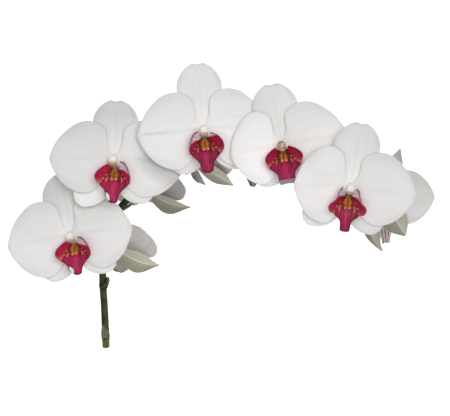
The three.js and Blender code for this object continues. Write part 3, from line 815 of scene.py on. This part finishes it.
petal_front, petal_back = petal_finish("white_petal_face"), petal_finish("grey_green_petal_back", True)
column_coat, receptacle_coat = column_finish(), receptacle_finish()
for k, (letter, bloom) in enumerate(BLOOMS.items()):
    place, phase = placed(bloom), 1.7 * k
    left, right = bloom["petals"]
    first, second = bloom["laterals"]
    dorsal, crease, under = bloom.get("dorsal", {}), bloom.get("crease"), bloom.get("under", 0)
    light, shaded = bloom.get("back", (0.9, 0.9, 0.9, 0.9)), bloom.get("shaded", (0, 0, 0, 0, 0))
    rear = petal_front if bloom.get("clear") else petal_back
    crease_shade = (lambda p: crease_shade_at(p, crease)) if crease else 0
    leaf = dict(place=place, front=petal_front, blush=blush_at, crease_shade=crease_shade)
    petal = dict(leaf, cells=PETAL["cells"], wall=PETAL["wall"], back=rear, sepal=0, back_tone=light[0])
    sepal = dict(leaf, cells=SEPAL["cells"], wall=SEPAL["wall"], back=petal_back)
    column = dict(place=place, finish=column_coat, front=front_at, tan=bloom.get("tan", 0))
    # Each leaf notes its painted shade: its bloom's own amount, upper halves, top sepal tips and the next
    # bloom's shadow.
    body = joined("petals_" + letter, [
        blade(
            "petal_left", surface=petal_surface(-1, phase, **left), flip=True,
            dim=lambda p: shaded[0] + upper_shade(p), **petal
        ),
        blade(
            "petal_right", surface=petal_surface(1, phase + 1, **right),
            dim=lambda p: shaded[1] + upper_shade(p) + under * cast_shade(p), **petal
        ),
        blade(
            "sepal_top", surface=sepal_surface(dorsal_line, 1, 0, phase, SEPAL["notch"], **dorsal),
            dim=lambda p: (0.12 + shaded[2]) * far_shade(p), sepal=0.1, back_tone=light[3], **sepal
        ),
        blade(
            "sepal_left", surface=sepal_surface(lateral_line, 1, SEPAL["angle"], phase + 2, **first),
            dim=shaded[3], sepal=1, back_tone=light[1], **sepal
        ),
        blade(
            "sepal_right", surface=sepal_surface(lateral_line, -1, SEPAL["angle"], phase + 3, **second),
            dim=shaded[4], sepal=1, back_tone=light[2], **sepal
        ),
        lathed("receptacle", RECEPTACLE_PROFILE, place, receptacle_coat, front=receptacle_front),
        lathed("column", COLUMN_PROFILE, inner=rotation(COLUMN_TILT, "X"), **column),
        lathed("cap", CAP_PROFILE, inner=Matrix.Translation(CAP_PLACE), **column),
        lathed("foot", FOOT_PROFILE, inner=Matrix.Translation(FOOT_PLACE), **column),
    ])
    kept_above(body)
    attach(body, "root")
    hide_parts(f"bloom_{letter}_perianth")

# The lips: a fleshy magenta tongue shaped like a trowel, and two side lobes that
# stand up beside the column, their tops pale like ears. Each sits on the column's foot.
TONGUE_EDGE = [
    (3.2, -7.5, 4.7), (5, -12, 5.5), (7.2, -16.3, 7.2), (10.4, -19.8, 9.2), (13, -22.8, 10.6),
    (8.9, -27.6, 12.1), (6.1, -32.2, 12.8), (5, -36.5, 12), (4.3, -40.5, 10.4),
]
LOBE_BASE = [(3, -7.3, 4.9), (4.8, -11.5, 5.7), (6.9, -16, 7.3), (9.8, -19.3, 9.2), (12.6, -22.4, 10.6)]
LOBE_OPEN = [
    (5.6, -4.2, 9.5), (11.2, -7.8, 13.5), (15.8, -12.6, 16), (16.6, -17.8, 15.2), (13.4, -22.8, 11.8),
]
LOBE_UPRIGHT = [
    (5, -1.8, 10.5), (9.6, -2.8, 14.5), (13.4, -8.8, 16), (15.2, -16.2, 15.2), (13.8, -22.9, 11.8),
]
LOBE_WING = [(0.8, 1.7, 0), (-0.6, 0.9, 0), (-1.6, -0.6, 0), (0.9, -0.9, 0), (0.8, -0.4, 0)]
LIP = {
    "wall": 0.9, "hollow": 1.6, "notch": 0.9, "bulge": 1.6, "keel": 0.5, "ruffle": 0.35, "rim": 0.3,
    "roll_in": 1.9, "roll_up": 1.4, "bend": 30, "cells": (32, 20), "lobe_cells": (18, 16),
}
LIP_FOOT = Vector((0, -7.5, 4.7))
tongue_edge, lobe_base = line_through(TONGUE_EDGE), line_through(LOBE_BASE)


def waisted(u, waist):
    """How much wider the tongue is at its waist than usual."""
    return 1 + (waist - 1) * bell(u, 0.64, 0.2)


def dropped(u, drop):
    """How much lower the tongue's corners hang than usual."""
    return drop * bell(u, 0.5, 0.16)


def tongue_surface(waist=1, drop=0, tip=1, round_tip=0, turned=0, curl=0):
    """The tongue from the throat to its tip, with each bloom's own waist and tip."""

    def surface(u, v):
        across = 2 * v - 1
        half, y, z = tongue_edge(u)
        half *= waisted(u, waist) * (1 + (tip - 1) * clipped((u - 0.7) / 0.2))
        y += (LIP["notch"] * (1 - abs(across)) + round_tip * across * across) * u**6 - dropped(u, drop)
        z += LIP["keel"] * bell(across, 0, 0.16) * math.sin(math.pi * min(1, 1.3 * u))
        z += LIP["ruffle"] * math.sin(9 * math.pi * u) * across**4
        z -= LIP["hollow"] * (1 - across * across) * math.sin(math.pi * u)
        z -= turned * LIP["bend"] * max(0, u - 0.86)
        rolled = curl * bell(u, 0.82, 0.1) * max(0, -across) ** 2
        return Vector((across * half - LIP["roll_in"] * rolled, y, z + LIP["roll_up"] * rolled))

    return surface


def lobe_surface(side, ear, wings, waist=1, drop=0):
    """A side lobe from its foot on the tongue's edge up to its free edge."""
    lobe_edge = line_through([
        Vector(spread).lerp(Vector(upright), ear) + Vector(wing) * wings
        for spread, upright, wing in zip(LOBE_OPEN, LOBE_UPRIGHT, LOBE_WING)
    ])

    def surface(u, v):
        foot = lobe_base(u)
        foot.x *= waisted(u / 2, waist)
        foot.y -= dropped(u / 2, drop)
        point = foot.lerp(lobe_edge(u), v)
        bulge = LIP["bulge"] * math.sin(math.pi * v)
        point.x += bulge * (0.4 + 0.6 * u) * (1 - 0.6 * ear)
        point.z += LIP["rim"] * math.sin(8 * math.pi * u) * v**4 - bulge * u
        point.x *= side
        return point

    return surface


def lip_place(place, length=1, turn=0, shift=(0, 0)):
    """A lip turned and sized about the point where it sits on the column's foot."""
    foot = Matrix.Translation(LIP_FOOT + Vector((*shift, 0)))
    sized = Matrix.Diagonal((1, length, 1, 1)) @ Matrix.Translation(-LIP_FOOT)
    return place @ foot @ rotation(turn, "Z") @ sized


def tongue_finish():
    """Magenta down the middle and crimson beside it, striped and dark rimmed, dark at the throat with
    painted shade, with a tip of its own.
    """
    f = Finish("magenta_lip_tongue")
    side = f.off_middle()
    magenta, crimson = (0.64, 0.012, 0.135), (0.53, 0.008, 0.085)
    deep, rim = (0.41, 0.005, 0.052), (0.33, 0.004, 0.042)
    tone = f.ramp(side, (0.0, magenta), (0.16, crimson), (0.36, deep), (0.5, rim))
    stripes = f.ramp(f.streaks(1.2, 22, 2), (0.47, 0.0), (0.6, 1.0))
    tone = f.blend(f.times(stripes, 0.85), tone, (0.09, 0.001, 0.016))
    # Fine pale streaks: partly the lip's own pale lines, partly painted glints.
    pale_threads_and_glints = f.ramp(f.streaks(1.6, 40, 1), (0.56, 0.0), (0.66, 1.0))
    pale_threads_and_glints = f.times(pale_threads_and_glints, f.ramp(side, (0.0, 0.6), (0.42, 0.1)))
    tone = f.blend(pale_threads_and_glints, tone, (0.74, 0.1, 0.24))
    # Darker towards the throat and darkest in it: partly the lip's own colour, partly painted shade below
    # the column.
    tone = f.blend(f.ramp(f.along, (0.2, 0.6), (0.42, 0.0)), tone, (0.22, 0.012, 0.012))
    throat = f.blend(f.ramp(side, (0.16, 0.0), (0.34, 1.0)), (0.3, 0.15, 0.08), (0.09, 0.012, 0.008))
    tone = f.blend(f.ramp(f.along, (0.06, 1.0), (0.17, 0.0)), tone, throat)
    bowed = f.plus(side, f.times(f.minus(f.along, 0.3), 0.7))
    dash = f.ramp(bowed, (0.36, 0.0), (0.385, 1.0), (0.41, 1.0), (0.435, 0.0))
    dash = f.times(dash, f.ramp(f.along, (0.24, 0.0), (0.27, 0.85), (0.36, 0.85), (0.42, 0.0)))
    tone = f.blend(dash, tone, (0.8, 0.34, 0.26))
    edge = f.least(f.minus(0.5, side), f.rest(f.along))
    lower = f.ramp(f.along, (0.52, 0.0), (0.62, 1.0))
    tone = f.blend(f.times(f.ramp(edge, (0.03, 1.0), (0.08, 0.0)), lower), tone, (0.07, 0.002, 0.03))
    tone = f.blend(f.times(f.ramp(edge, (0.008, 1.0), (0.02, 0.0)), lower), tone, (0.66, 0.3, 0.44))
    down, out = f.times(f.minus(f.along, 0.82), 6.6), f.times(f.across, 3.2)
    far = f.plus(f.maths("POWER", down, 2.0), f.maths("POWER", out, 2.0))
    curl = f.noted("curl")
    tone = f.blend(f.times(curl, f.ramp(far, (0.85, 1.0), (1.0, 0.0))), tone, (0.05, 0.004, 0.03))
    pale = f.times(curl, f.ramp(far, (0.55, 1.0), (0.75, 0.0)), f.ramp(f.across, (0.025, 0.0), (0.06, 1.0)))
    tone = f.blend(pale, tone, (0.86, 0.74, 0.78))
    tone = f.dimmed(f.blend(f.noted("turned"), tone, (0.36, 0.29, 0.36)), f.noted("depth"))
    relief = f.plus(stripes, f.noise(700, 2))
    return f.coated(tone, f.between(f.noise(120), 0.4, 0.58), relief, 0.2, 0.6, specular=0.3)


def tongue_back_finish():
    """Pinkish grey with dark lines along it."""
    f = Finish("pink_grey_tongue_back")
    tone = f.ramp(f.streaks(2, 14), (0.35, (0.5, 0.42, 0.42)), (0.7, (0.66, 0.55, 0.57)))
    lines = f.maths("ABSOLUTE", f.maths("SINE", f.times(f.across, 4 * math.pi)))
    tone = f.blend(f.ramp(lines, (0.34, 1.0), (0.46, 0.0)), tone, (0.06, 0.004, 0.02))
    return f.coated(tone, f.between(f.noise(120), 0.45, 0.6), lines, 0.2, 0.5)


def lobe_finish(outer=False):
    """Crimson with dark rays and an orange foot inside, its ear pale lilac as the outside is, with a painted
    shadow along its top.
    """
    f = Finish("pale_lobe_outside" if outer else "crimson_lobe_inside")
    along, up = f.along, f.across
    spots = f.ramp(f.noise(750, 1, 0.3), (0.56, 0.0), (0.63, 1.0))
    wander = f.noise(150)
    lilac = f.blend(f.ramp(wander, (0.35, 0.0), (0.75, 0.6)), (0.84, 0.74, 0.79), (0.74, 0.52, 0.63))
    lilac = f.blend(f.times(spots, 0.75), lilac, (0.42, 0.1, 0.26))
    if outer:
        tone = f.blend(f.ramp(along, (0.35, 0.0), (0.9, 0.9)), lilac, (0.5, 0.12, 0.26))
    else:
        foot, low = (0.2, 0.008, 0.01), (0.38, 0.01, 0.022)
        middle, top = (0.5, 0.012, 0.07), (0.4, 0.01, 0.075)
        tone = f.ramp(up, (0.0, foot), (0.22, low), (0.55, middle), (1.0, top))
        tone = f.blend(f.ramp(f.streaks(9, 2), (0.5, 0.0), (0.66, 0.75)), tone, (0.16, 0.002, 0.014))
        tone = f.blend(f.ramp(wander, (0.5, 0.0), (0.75, 0.4)), tone, (0.62, 0.05, 0.12))
        tone = f.dimmed(tone, f.noted("depth"))
        near = f.times(f.ramp(up, (0.04, 0.9), (0.26, 0.0)), f.ramp(along, (0.3, 0.0), (0.45, 1.0)))
        rays = f.times(f.ramp(f.streaks(13, 2, 1), (0.56, 0.0), (0.64, 1.0)), near)
        tone = f.blend(rays, tone, (0.8, 0.33, 0.16))
        upright = f.noted("ear")
        end = f.times(f.ramp(along, (0.66, 0.0), (0.84, 0.35), (0.97, 0.8)), f.rest(upright))
        tone = f.blend(end, tone, (0.8, 0.25, 0.15))
        reach = f.times(upright, f.plus(f.times(up, 0.66), 0.14))
        reach = f.plus(reach, f.times(wander, 0.2), -0.1)
        ear = f.ramp(f.minus(reach, along), (0.0, 0.0), (0.1, 1.0))
        tone = f.blend(ear, tone, lilac)
        # A painted shadow along the ear's free edge, where it stands beside the petal.
        painted_ear_shadow = f.times(ear, f.ramp(up, (0.74, 0.0), (0.86, 0.85), (0.97, 0.85), (1.0, 0.2)))
        tone = f.blend(painted_ear_shadow, tone, (0.2, 0.11, 0.11))
    edge = f.least(f.rest(up), f.rest(along))
    tone = f.blend(f.ramp(edge, (0.0, 0.45), (0.01, 0.3), (0.02, 0.0)), tone, (0.66, 0.3, 0.4))
    relief = f.plus(wander, f.noise(700, 2))
    return f.coated(tone, f.between(wander, 0.38, 0.56), relief, 0.2, 0.5, specular=0.3)


def turned_at(point):
    """Where the tip of a tongue bends down."""
    return clipped((-point.y - 35.8) / 0.8)


tongue_coat, tongue_back = tongue_finish(), tongue_back_finish()
lobe_inside, lobe_outside = lobe_finish(), lobe_finish(outer=True)
for letter, bloom in BLOOMS.items():
    place = lip_place(placed(bloom), **bloom.get("lip", {}))
    (left, right), wings = bloom.get("ears", (0.5, 0.5)), bloom.get("wings", 0)
    shape = bloom.get("tongue", {})
    follow = {key: shape[key] for key in ("waist", "drop") if key in shape}
    flesh = dict(wall=LIP["wall"], place=place, depth=bloom.get("depth", 1))
    lobe = dict(flesh, cells=LIP["lobe_cells"], front=lobe_inside, back=lobe_outside)
    lip = joined("lip_" + letter, [
        blade(
            "tongue", LIP["cells"], tongue_surface(**shape), front=tongue_coat, back=tongue_back,
            curl=shape.get("curl", 0), turned=lambda p: shape.get("turned", 0) * turned_at(p), **flesh
        ),
        blade("lobe_left", surface=lobe_surface(-1, left, wings, **follow), flip=True, ear=left, **lobe),
        blade("lobe_right", surface=lobe_surface(1, right, wings, **follow), ear=right, **lobe),
    ])
    kept_above(lip)
    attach(lip, "root")
    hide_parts(f"bloom_{letter}_lip")

# The callus: a small waxy pad in the throat of each lip that swells into two crests,
# ochre with dark red spots, a brown line between the crests and two pale tips in front.
CALLUS = {"from": 0.07, "to": 0.36, "half": 4.3, "foot": 0.7, "rise": 3.2, "lift": 1.3}
smooth_tongue = tongue_surface()


def throat_line(u):
    """The middle line of a tongue."""
    return smooth_tongue(u, 0.5)


def crest_at(share, across, top):
    """A point of the callus, from its place along, across and up through a ball."""
    stretch = share + 0.3 * clipped(2.2 * abs(across)) * share**3
    u = CALLUS["from"] + (CALLUS["to"] - CALLUS["from"]) * stretch
    swell = math.sin(math.pi * (0.15 + 0.6 * share)) * (0.2 + 0.8 * abs(math.sin(math.pi * across)))
    rise = Vector((1, 0, 0)).cross(heading(throat_line, u, 0.01))
    rise = rise if rise.z > 0 else -rise
    point = throat_line(u)
    point.x = across * CALLUS["half"] * (0.85 + 0.3 * share - 0.25 * bell(share, 0.62, 0.14))
    return point + rise * (CALLUS["lift"] + top * (CALLUS["foot"] + CALLUS["rise"] * swell))


def groove_at(share, across, top):
    """The dark line between the crests, with a weaker one beside each."""
    lines = bell(across, 0, 0.13) + 0.6 * bell(abs(across), 0.66, 0.08)
    return min(1, lines) * top * (1 - 0.5 * share)


def tip_at(share, across, top):
    """The pale tips of the two crests."""
    return clipped((share - 0.8) / 0.1) * bell(abs(across), 0.4, 0.2)


def callus_finish():
    """Ochre mottled with brown, with red spots, dark grooves and pale tips."""
    f = Finish("spotted_ochre_callus")
    mottle = f.noise(260)
    tone = f.ramp(mottle, (0.35, (0.32, 0.075, 0.008)), (0.6, (0.6, 0.22, 0.025)))
    spots = f.ramp(f.noise(1500, 1, 0.3), (0.6, 0.0), (0.66, 1.0))
    tone = f.blend(f.times(spots, 0.6), tone, (0.25, 0.02, 0.01))
    tone = f.blend(f.noted("groove"), tone, (0.13, 0.01, 0.006))
    tone = f.blend(f.times(f.noted("tips"), 0.6), tone, (0.85, 0.45, 0.14))
    return f.coated(tone, f.between(mottle, 0.3, 0.45), mottle, 0.15, 0.6)


callus_coat = callus_finish()
for letter, bloom in BLOOMS.items():
    place = lip_place(placed(bloom), **bloom.get("lip", {}))
    bpy.ops.object.select_all(action="DESELECT")
    bpy.ops.mesh.primitive_uv_sphere_add(segments=32, ring_count=20, radius=1)
    pad = bpy.context.object
    pad.name = "callus_" + letter
    spots = [((p.co.x + 1) / 2, p.co.y, (p.co.z + 1) / 2) for p in pad.data.vertices]
    for point, spot in zip(pad.data.vertices, spots):
        point.co = place @ crest_at(*spot) * MM
    bpy.ops.object.shade_smooth()
    note(pad, "groove", [groove_at(*spot) for spot in spots])
    note(pad, "tips", [tip_at(*spot) for spot in spots])
    pad.data.materials.append(callus_coat)
    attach(pad, "root")
    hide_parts(f"bloom_{letter}_callus")

# Plain soft studio light: one large panel high at the upper right, a weaker one
# at the lower left, and an even white surround. Places and sizes in metres, watts.
PANELS = [
    ("large_panel", (0.42, 0.5, 2.4), 1.4, 25),
    ("fill_panel", (-0.5, -0.6, 2.3), 1.6, 8),
]
SURROUND_LIGHT = 0.42
for name, place, size, power in PANELS:
    bpy.ops.object.light_add(type="AREA", location=place)
    panel = bpy.context.object
    panel.name = name
    panel.data.size = size
    panel.data.energy = power
    panel.rotation_euler = (-Vector(place)).to_track_quat("-Z", "Y").to_euler()
surround = bpy.data.worlds.new("white_surround")
surround.use_nodes = True
surround.node_tree.nodes["Background"].inputs["Color"].default_value = (1, 1, 1, 1)
surround.node_tree.nodes["Background"].inputs["Strength"].default_value = SURROUND_LIGHT
bpy.context.scene.world = surround
